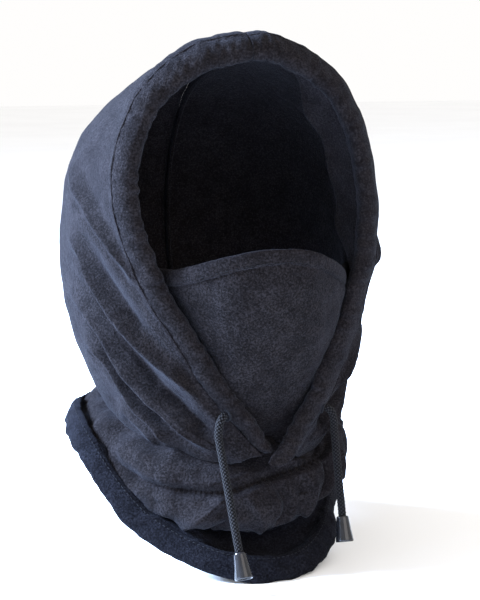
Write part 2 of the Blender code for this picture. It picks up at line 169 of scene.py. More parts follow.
def grid_normals(points, like):
    """Unit normals of a grid of points, turned to the side of the directions in like."""
    normal = unit(np.cross(np.gradient(points, axis=1), np.gradient(points, axis=0)))
    return normal * np.where((normal * like).sum(-1, keepdims=True) < 0, -1.0, 1.0)


# ---- The hood's surface ---------------------------------------------------------------------
def hoop_width(pointedness, angle):
    p = pointedness
    widest = 2 * np.sqrt(1 / (2 + p)) * ((1 + p) / (2 + p)) ** ((1 + p) / 2)
    return np.sin(angle) * np.maximum(np.cos(angle / 2), 1e-6) ** p / widest


def lean(back, angle):
    """How far the right cheek is pulled in. RIGHT_LEAN runs from 60 to 172 degrees."""
    amount = np.maximum(0, through(RIGHT_LEAN, (np.degrees(angle) - 60) / 112))
    return amount * (1 - smooth(0.08, 0.45, back))


def hood_surface(back, angle, side):
    """Points of the hood: back 0 at the face to 1 at the neck, angle from crown to throat."""
    back, angle = np.broadcast_arrays(np.asarray(back, float), np.asarray(angle, float))
    top = through(CENTRE_SEAM, back)
    throat = np.add(THROAT_FRONT, np.subtract(THROAT_BACK, THROAT_FRONT) * back[..., None])
    height = ((1 + np.cos(angle)) / 2)[..., None]
    middle = throat + (top - throat) * height
    y = middle[..., 0] + FACE_SETBACK * np.maximum(0, 1 - 2 * back) * np.sin(angle)
    x = through(HOOP_HALF_WIDTHS, back) * hoop_width(through(HOOP_POINTEDNESS, back), angle)
    if side < 0:
        x = x - lean(back, angle)
    return np.stack([side * x, y, middle[..., 1]], -1)


def hood_frame(back, angle, side):
    """(points, directions to the back, outward normals) on the hood, for arrays of angles."""
    step = 0.01
    here = hood_surface(back, angle, side)
    rearward = unit(hood_surface(np.asarray(back) + step, angle, side) - here)
    lower = np.maximum(np.asarray(angle) - step, 0.001)
    higher = np.minimum(np.asarray(angle) + step, math.pi - 0.001)
    along = hood_surface(back, higher, side) - hood_surface(back, lower, side)
    return here, rearward, unit(np.cross(along, rearward)) * side


def tunnel_scale(angle):
    past = np.maximum(0.0, angle / TUNNEL_END_ANGLE - TUNNEL_TAPER_FROM) / (1 - TUNNEL_TAPER_FROM)
    return 1.0 + (TUNNEL_END_SCALE - 1.0) * past


def tunnel_frame(angle, word):
    here, rearward, normal = hood_frame(TUNNEL_BACK, angle, SIDES[word])
    low = np.clip((angle - math.radians(140)) / math.radians(33), 0, 1)
    shift = [-TUNNEL_OVERLAP[word] * low**3, TUNNEL_CROSSING[word] * low**1.4, 0 * low]
    here = here + np.stack(shift, -1)
    return here, rearward, normal


def tunnel_edge(angle, side, reach=1.0):
    """How far back a tunnel's rear edge is at each angle, or another share of its half width."""
    angle = np.asarray(angle, float)
    middle = hood_surface(TUNNEL_BACK, angle, side)
    clear = TUNNEL_HALF_WIDTH * tunnel_scale(angle) * reach
    low, high = np.full(angle.shape, TUNNEL_BACK), np.ones(angle.shape)
    for _ in range(26):
        half = (low + high) / 2
        near = np.linalg.norm(hood_surface(half, angle, side) - middle, axis=-1) < clear
        low, high = np.where(near, half, low), np.where(near, high, half)
    return high


# ---- Folds ----------------------------------------------------------------------------------
# Each fold of the hood: its line as (back, degrees from the crown), its height and half width in
# millimetres, and its lean (above 0, the rear flank is the steeper one).
HOOD_FOLDS = [
    ([(0.44, 52), (0.35, 65), (0.29, 74), (0.22, 83), (0.15, 91), (0.12, 96)], 6.0, 5.0, 0.2),
    (
        [(0.47, 74), (0.41, 82), (0.38, 93), (0.36, 103), (0.32, 116), (0.26, 125), (0.24, 134)],
        8.0, 5.5, 0.3,
    ),
    (
        [(0.62, 82), (0.56, 88), (0.51, 101), (0.53, 113), (0.54, 125), (0.53, 138), (0.55, 157)],
        8.5, 6.0, 0.4,
    ),
    (
        [(0.78, 88), (0.66, 95), (0.62, 104), (0.63, 113), (0.68, 122), (0.72, 132), (0.91, 135)],
        7.0, 5.5, 0.4,
    ),
    ([(0.95, 100), (0.88, 106), (0.85, 112), (0.87, 120), (0.95, 128)], 3.5, 5.5, 0.2),
    ([(0.44, 106), (0.40, 120), (0.37, 133), (0.38, 149)], -6.5, 6.0, 0.0),
    ([(0.58, 98), (0.59, 112), (0.61, 124), (0.63, 138)], -4.5, 5.0, 0.0),
    ([(0.46, 80), (0.34, 90), (0.28, 99), (0.25, 110)], -3.5, 6.5, 0.0),
    ([(0.52, 20), (0.62, 24), (0.74, 22)], 1.6, 14.0, 0.0),
    ([(0.93, 4), (0.90, 20), (0.92, 40)], 2.2, 8.0, 0.2),
]


def fold_heights(points, key, line_points, line_keys, height, width, lean):
    """The height of one fold at each point. key tells which side of the line a point is on."""
    gaps = np.linalg.norm(points[:, None, :] - line_points[None, :, :], axis=-1)
    nearest = gaps.argmin(1)
    side = np.sign(key - line_keys[nearest])
    share = nearest / (len(line_points) - 1)
    narrowing = 1.0 - 0.35 * share
    x = gaps.min(1) * side / (width * narrowing)
    x = np.where(x > 0, x * (1 + lean), x * (1 - 0.5 * lean))
    taper = smooth(0, 0.34, share) * (1 - smooth(0.86, 1.0, share))
    beside = np.exp(-(((np.abs(x) - 2.3) / 1.0) ** 2))
    pinch = np.exp(-1.15 * (np.sqrt(x * x + 0.14) - 0.374))
    return height * taper * (pinch - 0.20 * beside)


def hood_fold_heights(points, back, side, shift, strength):
    total = np.zeros(len(points))
    for line, height, width, lean in HOOD_FOLDS:
        places = through(line, np.linspace(0, 1, 90))
        backs = np.clip(places[:, 0] + shift, 0.02, 1.0)
        angles = np.radians(places[:, 1])
        on_line = hood_surface(backs, angles, side)
        total += fold_heights(
            points, back, on_line, backs, height * strength / 1000, width / 1000, lean
        )
    return total


# ---- Mesh helpers ---------------------------------------------------------------------------
def mesh_object(name, vertices, faces, material):
    mesh = bpy.data.meshes.new(name)
    mesh.from_pydata(vertices, [], faces)
    mesh.update()
    mesh.shade_smooth()
    made = bpy.data.objects.new(name, mesh)
    bpy.context.scene.collection.objects.link(made)
    made.data.materials.append(material)
    return made


def grid_object(name, points, material, wrap=False, close=False, ring=False):
    """A quad mesh over a grid of points.

    wrap joins the last column to the first and close fills the two ends. ring joins it both ways.
    """
    rows, columns = points.shape[:2]
    down = rows if ring else rows - 1
    across = columns if wrap or ring else columns - 1
    i, j = np.meshgrid(np.arange(down), np.arange(across), indexing="ij")
    below, right = (i + 1) % rows * columns, (j + 1) % columns
    faces = np.stack([i * columns + j, i * columns + right, below + right, below + j], -1)
    faces = faces.reshape(-1, 4).tolist()
    if close:
        faces.append(list(range(columns))[::-1])
        faces.append([(rows - 1) * columns + k for k in range(columns)])
    return mesh_object(name, points.reshape(-1, 3).tolist(), faces, material)


def faces_along(made, outward):
    """Turns a mesh's faces round if, on the whole, they look away from outward(centre)."""
    count = len(made.data.polygons)
    centres, normals = np.empty(count * 3), np.empty(count * 3)
    made.data.polygons.foreach_get("center", centres)
    made.data.polygons.foreach_get("normal", normals)
    toward = outward(centres.reshape(-1, 3))
    if (normals.reshape(-1, 3) * toward).sum() < 0:
        made.data.flip_normals()
    return made


def from_head(centres):
    return unit(centres - np.array([0, 0, -0.02]))


def cloth_layer(made, thickness=FLEECE):
    """Gives a sheet its thickness, inwards."""
    solid = made.modifiers.new("cloth", "SOLIDIFY")
    solid.thickness = thickness
    solid.offset = -1
    return made


def tube_grid(centres, wide, deep, half_width, half_depth, around, power=1.0):
    """A grid round a tube of flat section. The sizes may be arrays with one value per station."""
    turn = np.linspace(0, 2 * math.pi, around, endpoint=False)
    c, s = np.cos(turn), np.sin(turn)
    c, s = np.sign(c) * np.abs(c) ** power, np.sign(s) * np.abs(s) ** power
    half_width = np.broadcast_to(half_width, len(centres))[:, None, None]
    half_depth = np.broadcast_to(half_depth, len(centres))[:, None, None]
    return (
        centres[:, None, :]
        + wide[:, None, :] * c[None, :, None] * half_width
        + deep[:, None, :] * s[None, :, None] * half_depth
    )


# ---- Materials ------------------------------------------------------------------------------
def new_material(name):
    made = bpy.data.materials.new(name)
    made.use_nodes = True
    nodes = made.node_tree.nodes
    return made, nodes, made.node_tree.links, nodes["Principled BSDF"]


def noise(nodes, links, place, scale, detail=3.0, roughness=0.55):
    found = nodes.new("ShaderNodeTexNoise")
    found.inputs["Scale"].default_value = scale
    found.inputs["Detail"].default_value = detail
    found.inputs["Roughness"].default_value = roughness
    links.new(place.outputs["Object"], found.inputs["Vector"])
    return found


def ramp(nodes, links, source, stops):
    """A colour ramp over a value output. stops are (position, colour)."""
    made = nodes.new("ShaderNodeValToRGB")
    elements = made.color_ramp.elements
    for element, (position, colour) in zip(elements, (stops[0], stops[-1])):
        element.position = position
        element.color = (*colour, 1)
    for position, colour in stops[1:-1]:
        elements.new(position).color = (*colour, 1)
    links.new(source, made.inputs["Fac"])
    return made


def bump(nodes, links, height, distance, strength, below=None):
    made = nodes.new("ShaderNodeBump")
    made.inputs["Distance"].default_value = distance
    made.inputs["Strength"].default_value = strength
    links.new(height, made.inputs["Height"])
    if below:
        links.new(below.outputs["Normal"], made.inputs["Normal"])
    return made


def set_inputs(shader, values):
    for socket, value in values.items():
        shader.inputs[socket].default_value = value


def set_normal(links, shader, relief):
    links.new(relief.outputs["Normal"], shader.inputs["Normal"])


def fleece_material(name, dark, mid, light, sheen):
    """Brushed fleece: short tufts, small pills, and a soft sheen from the raised fibres."""
    made, nodes, links, shader = new_material(name)
    place = nodes.new("ShaderNodeTexCoord")
    tufts = noise(nodes, links, place, 800, 4.0, 0.66)
    patches = noise(nodes, links, place, 70, 4.0, 0.60)
    mix = nodes.new("ShaderNodeMath")
    mix.operation = "MULTIPLY_ADD"
    mix.inputs[1].default_value = 0.78
    links.new(tufts.outputs["Fac"], mix.inputs[0])
    weight = nodes.new("ShaderNodeMath")
    weight.operation = "MULTIPLY"
    weight.inputs[1].default_value = 0.22
    links.new(patches.outputs["Fac"], weight.inputs[0])
    links.new(weight.outputs[0], mix.inputs[2])
    colour = ramp(nodes, links, mix.outputs[0], [(0.39, dark), (0.50, mid), (0.62, light)])
    links.new(colour.outputs["Color"], shader.inputs["Base Color"])
    pills = noise(nodes, links, place, 210, 2.0, 0.5)
    low = bump(nodes, links, pills.outputs["Fac"], 0.0010, 0.50)
    high = bump(nodes, links, tufts.outputs["Fac"], 0.0009, 0.9, low)
    set_normal(links, shader, high)
    set_inputs(shader, {"Roughness": 0.96, "Specular IOR Level": 0.02, "Sheen Weight": sheen})
    set_inputs(shader, {"Sheen Roughness": 0.42, "Sheen Tint": (0.74, 0.80, 1.0, 1)})
    return made


def thread_material(name, colour):
    made, nodes, links, shader = new_material(name)
    place = nodes.new("ShaderNodeTexCoord")
    fibres = noise(nodes, links, place, 1800, 2.0)
    shade = tuple(c * 0.7 for c in colour)
    tone = ramp(nodes, links, fibres.outputs["Fac"], [(0.3, shade), (0.7, colour)])
    links.new(tone.outputs["Color"], shader.inputs["Base Color"])
    set_normal(links, shader, bump(nodes, links, fibres.outputs["Fac"], 0.0002, 0.6))
    set_inputs(shader, {"Roughness": 0.80, "Specular IOR Level": 0.05, "Sheen Weight": 0.03})
    return made


def plastic_material(name):
    made, nodes, links, shader = new_material(name)
    place = nodes.new("ShaderNodeTexCoord")
    wear = noise(nodes, links, place, 160, 3.0)
    stops = [(0.35, (0.006, 0.006, 0.007)), (0.7, (0.011, 0.011, 0.013))]
    tone = ramp(nodes, links, wear.outputs["Fac"], stops)
    rough = nodes.new("ShaderNodeMapRange")
    rough.inputs["To Min"].default_value = 0.13
    rough.inputs["To Max"].default_value = 0.24
    links.new(wear.outputs["Fac"], rough.inputs["Value"])
    shader.inputs["Specular IOR Level"].default_value = 0.40
    links.new(tone.outputs["Color"], shader.inputs["Base Color"])
    links.new(rough.outputs["Result"], shader.inputs["Roughness"])
    set_normal(links, shader, bump(nodes, links, wear.outputs["Fac"], 0.00015, 0.3))
    return made


FLEECE_OUT = fleece_material(
    "fleece_out",
    dark=(0.0040, 0.0034, 0.0037),
    mid=(0.0086, 0.0074, 0.0080),
    light=(0.0195, 0.0170, 0.0182),
    sheen=0.036,
)
# A darker, bluer copy of the outer fleece for the bib and its hem. It is painted shade for the shadow under
# the neck's folds, not a different cloth.
FLEECE_BIB_PAINTED_SHADE = fleece_material(
    "fleece_bib_painted_shade",
    dark=(0.0022, 0.0021, 0.0028),
    mid=(0.0047, 0.0047, 0.0064),
    light=(0.0108, 0.0110, 0.0145),
    sheen=0.020,
)
THREAD = thread_material("thread", (0.010, 0.010, 0.012))
BRAID = thread_material("braid", (0.008, 0.008, 0.010))
PLASTIC = plastic_material("black_plastic")


# ---- The tunnel's shape, which the hood's cloth meets ---------------------------------------
TUNNEL_POINT = {"right": 0.45, "left": 0.90}  # how much each half narrows to its end
CROWN_TILT = math.radians(32)  # the tunnel's front edge hangs down over the forehead
TUNNEL_SETBACK = 0.0012
CROWN_SWELL = {"right": 0.0, "left": 0.0034}  # the wearer's left half stands fuller beside the crown
TUNNEL_POWER = 0.90
TUNNEL_TILT = math.radians(14)  # elsewhere it slopes less, so the seam is its highest line


def tunnel_shape(angle, word):
    """The tunnel's centre line, its directions across and its half sizes, at each angle."""
    share = np.clip(angle / TUNNEL_END_ANGLES[word], 0, 1)
    angle = np.maximum(0.002, TUNNEL_END_ANGLES[word] * share)
    centre, rearward, normal = tunnel_frame(angle, word)
    scale = tunnel_scale(angle)
    crown = 1 - 0.09 * np.exp(-((share / 0.012) ** 2))
    tip = 1 - 0.55 * smooth(0.965, 1.0, share)
    spread = smooth(10, 50, np.degrees(angle)) * (TUNNEL_HALF_WIDTHS[word] - TUNNEL_HALF_WIDTH)
    point = 1 - TUNNEL_POINT[word] * smooth(0.86, 1.0, share) ** 1.3
    wobble = ripple(centre, 0.050, 21 + SIDES[word], 2)
    centre = centre + normal * (0.0012 * wobble)[:, None]
    degrees = np.degrees(angle)
    beside_crown = np.exp(-(((degrees - 34) / 16) ** 2))[:, None]
    centre = centre + normal * (CROWN_SWELL[word] * beside_crown)
    above_throat = 1 - smooth(118, 146, degrees)
    tilt = TUNNEL_TILT + (CROWN_TILT - TUNNEL_TILT) * (1 - smooth(25, 72, degrees))
    tilt = (tilt * above_throat)[:, None]
    centre = centre + rearward * (TUNNEL_SETBACK * above_throat)[:, None]
    wide = rearward * np.cos(tilt) + normal * np.sin(tilt)
    deep = normal * np.cos(tilt) - rearward * np.sin(tilt)
    half_width = (TUNNEL_HALF_WIDTH + spread) * scale * crown * point
    half_depth = TUNNEL_HALF_DEPTH * (1 + scale) / 2 * crown * tip
    return centre, rearward, wide, deep, half_width, half_depth


def tunnel_shoulder(angle, word, reach):
    """The line along the tunnel's outer face that lies a share of its half width behind its middle."""
    centre, _, wide, deep, half_width, half_depth = tunnel_shape(angle, word)
    height = np.sqrt(1 - reach ** (2 / TUNNEL_POWER)) ** TUNNEL_POWER
    return centre + wide * (half_width * reach)[:, None] + deep * (half_depth * height)[:, None]


# ---- Hood -----------------------------------------------------------------------------------
HOOD_ROWS, HOOD_COLUMNS = 190, 220
CROWN_FULLNESS = 0.0050  # how far the sides stand out above the ears
SEAM_RISE = 0.0062  # near the throat, the hood's cloth rises this much to meet the face tunnel
SEAM_REACH = 0.34  # it laps over the tunnel, to this share of the half width behind its middle
SEAM_REACH_LOW = 0.74  # less so at the eyelets, which it leaves bare
SEAM_RIDGE = 0.0005  # the turned edge of the cloth along that seam
SEAM_EDGE = 0.0001  # how far the edge itself stands out of the tunnel's cloth
SIDE_HOLLOW = 0.0070  # how far the sides lie in below the ears
HOOD_END_ANGLE = math.radians(163)
SIDE_LOOK = {"right": (0.0, 1.0), "left": (0.025, 0.85)}  # its folds' shift and strength
CENTRE_GROOVE, CENTRE_GROOVE_WIDTH = 0.0020, 0.0016
TUCK_DROP, TUCK_IN = 0.004, 0.009  # how the lower edge turns in under the neck's cloth
CROWN_MEETING = 9  # degrees from the crown, within which the two halves share one seam line


def hood_lift(points, back, share, angle, word):
    """(how far each point stands out, its distance from the seam, how near the throat it is)."""
    side, degrees = SIDES[word], np.degrees(angle)
    shift, strength = SIDE_LOOK[word]
    flat, keys = points.reshape(-1, 3), np.broadcast_to(back, points.shape[:2]).reshape(-1)
    lift = hood_fold_heights(flat, keys, side, shift, strength).reshape(points.shape[:2])
    lift += 0.0011 * ripple(points, 0.060, 11, 2) + 0.0002 * ripple(points, 0.016, 12)
    lift *= smooth(0.0, 0.10, share) * 0.75 + 0.25
    above_ears = np.exp(-(((degrees - 52) / 26) ** 2))
    fullness = above_ears * smooth(0.12, 0.40, back) * (1 - smooth(0.75, 1.0, back))
    lift += CROWN_FULLNESS * fullness
    beyond = np.linalg.norm(points - points[:1], axis=-1)
    low = smooth(136, 150, degrees)
    scale = tunnel_scale(angle)
    lift += SEAM_RISE * low * scale * np.exp(-((beyond / 0.030) ** 2))
    lift += SEAM_RIDGE * scale * np.exp(-(((beyond - 0.0014) / 0.0020) ** 2))
    lift += SEAM_EDGE * np.exp(-((beyond / 0.0010) ** 2))
    below_ears = np.exp(-(((degrees - 106) / 24) ** 2))
    hollow = below_ears * smooth(0.25, 0.55, back) * (1 - smooth(0.85, 1.0, back))
    lift -= SIDE_HOLLOW * hollow
    lift -= CENTRE_GROOVE * np.exp(-((points[..., 0] / CENTRE_GROOVE_WIDTH) ** 2))
    return lift, beyond, low


def sewn_line(angle, word, reach):
    """Where the hood's cloth meets the tunnel. Both halves meet on one line at the crown."""
    degrees = np.degrees(angle)
    own = tunnel_shoulder(angle, word, reach)
    middle = sum(tunnel_shoulder(angle[:1], each, reach[:1]) for each in SIDES) / 2 * [0, 1, 1]
    line = middle + (own - middle) * smooth(0, CROWN_MEETING, degrees)[:, None]
    line[:, 0] = np.where(degrees < CROWN_MEETING, own[:, 0], line[:, 0])
    line[0, 0] = 0
    return line


def hood_cloth(word):
    """The hood's outer face on one side, with its folds."""
    side = SIDES[word]
    angle = HOOD_END_ANGLE * np.linspace(0, 1, HOOD_COLUMNS)[None, :]
    reach = SEAM_REACH + (SEAM_REACH_LOW - SEAM_REACH) * smooth(112, 130, np.degrees(angle[0]))
    edge = tunnel_edge(angle[0], side, reach)[None, :]
    share = np.linspace(0, 1, HOOD_ROWS)[:, None]
    back = edge + (1.0 - edge) * share
    points = hood_surface(back, angle, side)
    outward = grid_normals(points, from_head(points))
    lift, beyond, low = hood_lift(points, back, share, angle, word)
    gap = sewn_line(angle[0], word, reach)[None] - points[:1]
    points = points + outward * lift[..., None]
    points = points + gap * ((1 - low) * np.exp(-((beyond / 0.026) ** 2)))[..., None]
    tuck = smooth(0.93, 1.0, share)
    points[..., 2] -= TUCK_DROP * tuck
    inward = unit(np.array([0, NECK_CENTRE_Y, 0]) - points * [1, 1, 0])
    return points + inward * (TUCK_IN * tuck[..., None] ** 2)


for word in SIDES:
    cloth = grid_object(f"hood_{word}", hood_cloth(word), FLEECE_OUT)
    cloth_layer(faces_along(cloth, from_head))
    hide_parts(f"hood_panel_{word}")
    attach(cloth, "hood")


# ---- Face tunnel ----------------------------------------------------------------------------
PUCKER_PITCH = 0.0115
PUCKER_HEIGHT, TUNNEL_FINE_HEIGHT = 0.00075, 0.00045


def tunnel_grid(word):
    """The puffed tube round the face opening, puckered along its drawcord."""
    side = SIDES[word]
    angle = TUNNEL_END_ANGLES[word] * np.linspace(0, 1, 260)
    centre, rearward, wide, deep, half_width, half_depth = tunnel_shape(angle, word)
    grid = tube_grid(centre, wide, deep, half_width, half_depth, 56, TUNNEL_POWER)
    outward = unit(grid - centre[:, None, :])
    front = smooth(0.2, -0.9, (outward * rearward[:, None, :]).sum(-1))
    phase = lengths_along(centre) / PUCKER_PITCH * 2 * math.pi + 2.2 * ripple(centre, 0.03, 31 + side, 2)
    uneven = 0.6 + 0.4 * ripple(grid, 0.025, 41, 2)
    pucker = np.sin(phase)[:, None] * (0.12 + 0.88 * front) * uneven
    fine = ripple(grid, 0.012, 51 + side, 2)
    return grid + outward * (PUCKER_HEIGHT * pucker + TUNNEL_FINE_HEIGHT * fine)[..., None]


for word in SIDES:
    tube = grid_object(f"tunnel_{word}", tunnel_grid(word), FLEECE_OUT, wrap=True, close=True)
    faces_along(tube, lambda centres: unit(centres - np.array([0, -0.08, -0.02])))
    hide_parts(f"face_tunnel_{word}")
    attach(tube, "hood")


FACING_DEPTH = 0.022
FACING_IN = {"right": 0.005, "left": 0.0185}  # how far the facing's free edge stands in from the hood


def facing_grid(word):
    """The turned-in facing inside the face opening, from the crown down to the mask."""
    angle = np.radians(np.linspace(14, 103, 170))
    centre, rearward, normal = tunnel_frame(angle, word)
    degrees = np.degrees(angle)
    reach = (smooth(14, 46, degrees) * (1 - smooth(84, 103, degrees)))[None, :, None]
    u = np.linspace(0, 1, 34)[:, None, None]
    inner = TUNNEL_HALF_DEPTH * 0.55 + (FACING_IN[word] - 0.002) * reach * u**1.3
    back = -0.004 + (FACING_DEPTH * (0.35 + 0.65 * reach) + 0.004) * u
    points = centre[None] + rearward[None] * back - normal[None] * inner
    wave = 0.0012 * ripple(points, 0.030, 55, 2)
    wave = wave + 0.0011 * np.sin(points[..., 2] / 0.016 * 2 * math.pi / 2.4)
    return points - normal[None] * (wave[..., None] * u)


for word in SIDES:
    strip = grid_object(f"face_facing_{word}", facing_grid(word), FLEECE_OUT)
    cloth_layer(faces_along(strip, lambda centres: unit(np.array([0, -0.03, 0.02]) - centres)), 0.0022)
    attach(strip, "hood")


# ---- Stitches -------------------------------------------------------------------------------
def stitches(name, points, normals, material, body, gap=0.0011, length=0.0023, radius=0.00028, sink=0.0):
    """One mesh of short thread capsules along a line of points, lying on the cloth."""
    steps = lengths_along(points)
    count = int(steps[-1] / (length + gap))
    starts = (np.arange(count) + 0.5) * (length + gap)
    shares = np.linspace(0, 1, 7)
    swell = np.sqrt(np.clip(1 - (2 * shares - 1) ** 4, 0.02, 1))
    dip = -0.6 * radius * (2 * shares - 1) ** 4
    vertices, faces = [], []
    turn = np.linspace(0, 2 * math.pi, 6, endpoint=False)
    for start in starts:
        places = start + (shares - 0.5) * length
        middle = interpolated(places, steps, points)
        up = unit(interpolated(places, steps, normals))
        middle = middle + up * (dip + radius * 0.5 - sink)[:, None]
        along = unit(np.gradient(middle, axis=0))
        over = unit(np.cross(along, up))
        size = (radius * swell)[:, None, None]
        ring = middle[:, None, :] + (
            over[:, None, :] * np.cos(turn)[None, :, None] + up[:, None, :] * np.sin(turn)[None, :, None]
        ) * size
        base = len(vertices)
        vertices.extend(ring.reshape(-1, 3).tolist())
        for i in range(6):
            for j in range(6):
                row, following = base + i * 6, (j + 1) % 6
                faces.append([row + j, row + following, row + 6 + following, row + 6 + j])
        faces.append([base + j for j in range(6)][::-1])
        faces.append([base + 36 + j for j in range(6)])
    made = mesh_object(name, vertices, faces, material)
    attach(made, body)
    return made


# ---- Mask -----------------------------------------------------------------------------------
def angle_at_height(back, z):
    top = through(CENTRE_SEAM, back)[..., 1]
    low = THROAT_FRONT[1] + (THROAT_BACK[1] - THROAT_FRONT[1]) * back
    return np.arccos(2 * np.clip((z - low) / (top - low), 0.002, 1) - 1)


def mask_edge(z, down, side):
    """Where the mask is sewn in, at each height, on one side."""
    start = tunnel_edge(angle_at_height(np.full(z.shape, 0.1), z), side)
    back = start + 0.16 + (0.03 - 0.16) * np.minimum(1, 1.5 * down)
    angle = angle_at_height(back, z)
    sewn, _, normal = hood_frame(back, angle, side)
    sewn = sewn - normal * MASK_INSET
    if side < 0:
        whole = lean(np.full(z.shape, TUNNEL_BACK), angle)
        drawn = (MASK_RIGHT_INSET_LOW - MASK_RIGHT_INSET) * smooth(0.45, 0.80, down)
        sewn[..., 0] += whole * (1 + (MASK_RIGHT_INSET + drawn)) - lean(back, angle)
    return sewn


def mask_surface(across, down):
    """Points of the mask's outer face: across -1 to 1, down 0 at the top edge to 1."""
    across, down = np.broadcast_arrays(np.asarray(across, float), np.asarray(down, float))
    s = np.abs(across)
    z = MASK_TOP_Z + (MASK_BOTTOM_Z - MASK_TOP_Z) * down
    sewn = np.where(across[..., None] < 0, mask_edge(z, down, -1), mask_edge(z, down, 1))
    section = through(MASK_SECTION, s)
    width, depth = section[..., 0], section[..., 1]
    front = through(MASK_FRONTS, down)
    lift = MASK_NOSE_LIFT * (1 - down) * np.cos(np.minimum(1.0, 1.6 * s) * math.pi / 2)
    sag = np.where(across < 0, MASK_SAG["right"], MASK_SAG["left"])
    lift -= sag * (1 - down) ** 2 * smooth(0.05, 0.70, s)
    y = front + (sewn[..., 1] - front) * depth
    return np.stack([sewn[..., 0] * width, y, z + lift], -1)


def mask_cloth():
    across = np.linspace(-1, 1, 190)[None, :]
    down = np.linspace(0.045, 1, 134)[:, None]
    points = mask_surface(across, down)
    outward = grid_normals(points, np.array([0, -1.0, 0]) + points * [6, 0, 0])
    lift = 0.0011 * ripple(points, 0.060, 61, 2) + 0.0004 * ripple(points, 0.018, 62, 2)
    lift -= 0.0007 * np.exp(-(((down - 0.080) / 0.016) ** 2))
    return points + outward * lift[..., None]


mask = grid_object("mask", mask_cloth(), FLEECE_OUT)
faces_along(mask, lambda centres: unit(centres * [1, 1, 0] + [0, -0.01, 0]))
cloth_layer(mask, FLEECE * 0.9)
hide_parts("mask_panel")
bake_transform(mask)


HEM_DROP = 2 * HEM_HALF_HEIGHT / (MASK_TOP_Z - MASK_BOTTOM_Z)


def mask_hem_frame(count):
    across = np.linspace(-0.985, 0.985, count)
    line = mask_surface(across, HEM_DROP / 2)
    along = unit(np.gradient(line, axis=0))
    up = unit(np.array([0, 0, 1.0]) - along * along[:, 2:3])
    outward = unit(np.cross(along, up))
    return line - outward * (FLEECE * 0.45), up, outward


def mask_hem_cloth():
    centre, up, outward = mask_hem_frame(300)
    grid = tube_grid(centre, up, outward, HEM_HALF_HEIGHT, HEM_HALF_DEPTH, 36, 0.72)
    away = unit(grid - centre[:, None, :])
    lift = 0.0002 * ripple(grid, 0.012, 71, 2) + 0.0003 * ripple(grid, 0.050, 72, 2)
    return grid + away * lift[..., None]


hem = grid_object("mask_hem_cloth", mask_hem_cloth(), FLEECE_OUT, wrap=True, close=True)
faces_along(hem, lambda centres: unit(centres - np.array([0, 0.0, -0.009])))
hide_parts("mask_hem")
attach(hem, "mask")

centre, up, outward = mask_hem_frame(300)
line = centre - up * (HEM_HALF_HEIGHT * 0.66) + outward * (HEM_HALF_DEPTH * 0.92)
stitches("mask_hem_stitches", line[8:-8], outward[8:-8], THREAD, "mask", radius=0.00022)

ELASTIC_HALF_HEIGHT, ELASTIC_HALF_DEPTH = 0.0032, 0.0007
inner = slice(4, -4)  # it stops short of the hem's ends
band = tube_grid(
    centre[inner], up[inner], outward[inner], ELASTIC_HALF_HEIGHT, ELASTIC_HALF_DEPTH, 20, 0.5
)
elastic_band = grid_object("elastic_band", band, THREAD, wrap=True, close=True)
faces_along(elastic_band, lambda centres: unit(centres - np.array([0, 0.0, -0.009])))
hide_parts("mask_elastic")
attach(elastic_band, "mask")


# ---- Neck and bib ---------------------------------------------------------------------------
BULGE = [0.0190, 0.0160, 0.0110, 0.0100, 0.0100, 0.0120, 0.0140, 0.0190]
WAIST_Z = [-0.1890, -0.165, -0.154, -0.147, -0.140, -0.134, -0.142, -0.178]
WAIST_OUT = 0.002
TROUGH_DEPTH = 0.009  # how far the bib dips between the neck and its rim, at the front
NECK_TOP_RISE = 0.006
NECK_FRONT_RISE = 0.0092
NECK_FRONT_TUCK = 0.0095
RIM_Z = [-0.201, -0.179, -0.170, -0.158, -0.142, -0.122, -0.127, -0.180]
RIM_RADIUS = [0.111, 0.083, 0.087, 0.093, 0.100, 0.101, 0.098, 0.098]
BIB_HEM_HALF_HEIGHT = 0.0092
BIB_HEM_HALF_DEPTH = 0.0034


def stations_through(stations, down):
    """A Catmull-Rom curve through stations[k][point], at each point's own share."""
    before, after = 2 * stations[:1] - stations[1:2], 2 * stations[-1:] - stations[-2:-1]
    ring = np.concatenate([before, stations, after])
    at = np.clip(down, 0, 1) * (len(stations) - 1)
    i = np.minimum(at.astype(int), len(stations) - 2)
    f = (at - i)[:, None]
    a, b, c, d = (ring[i + step, np.arange(len(down))] for step in range(4))
    return curve_between(a, b, c, d, f)


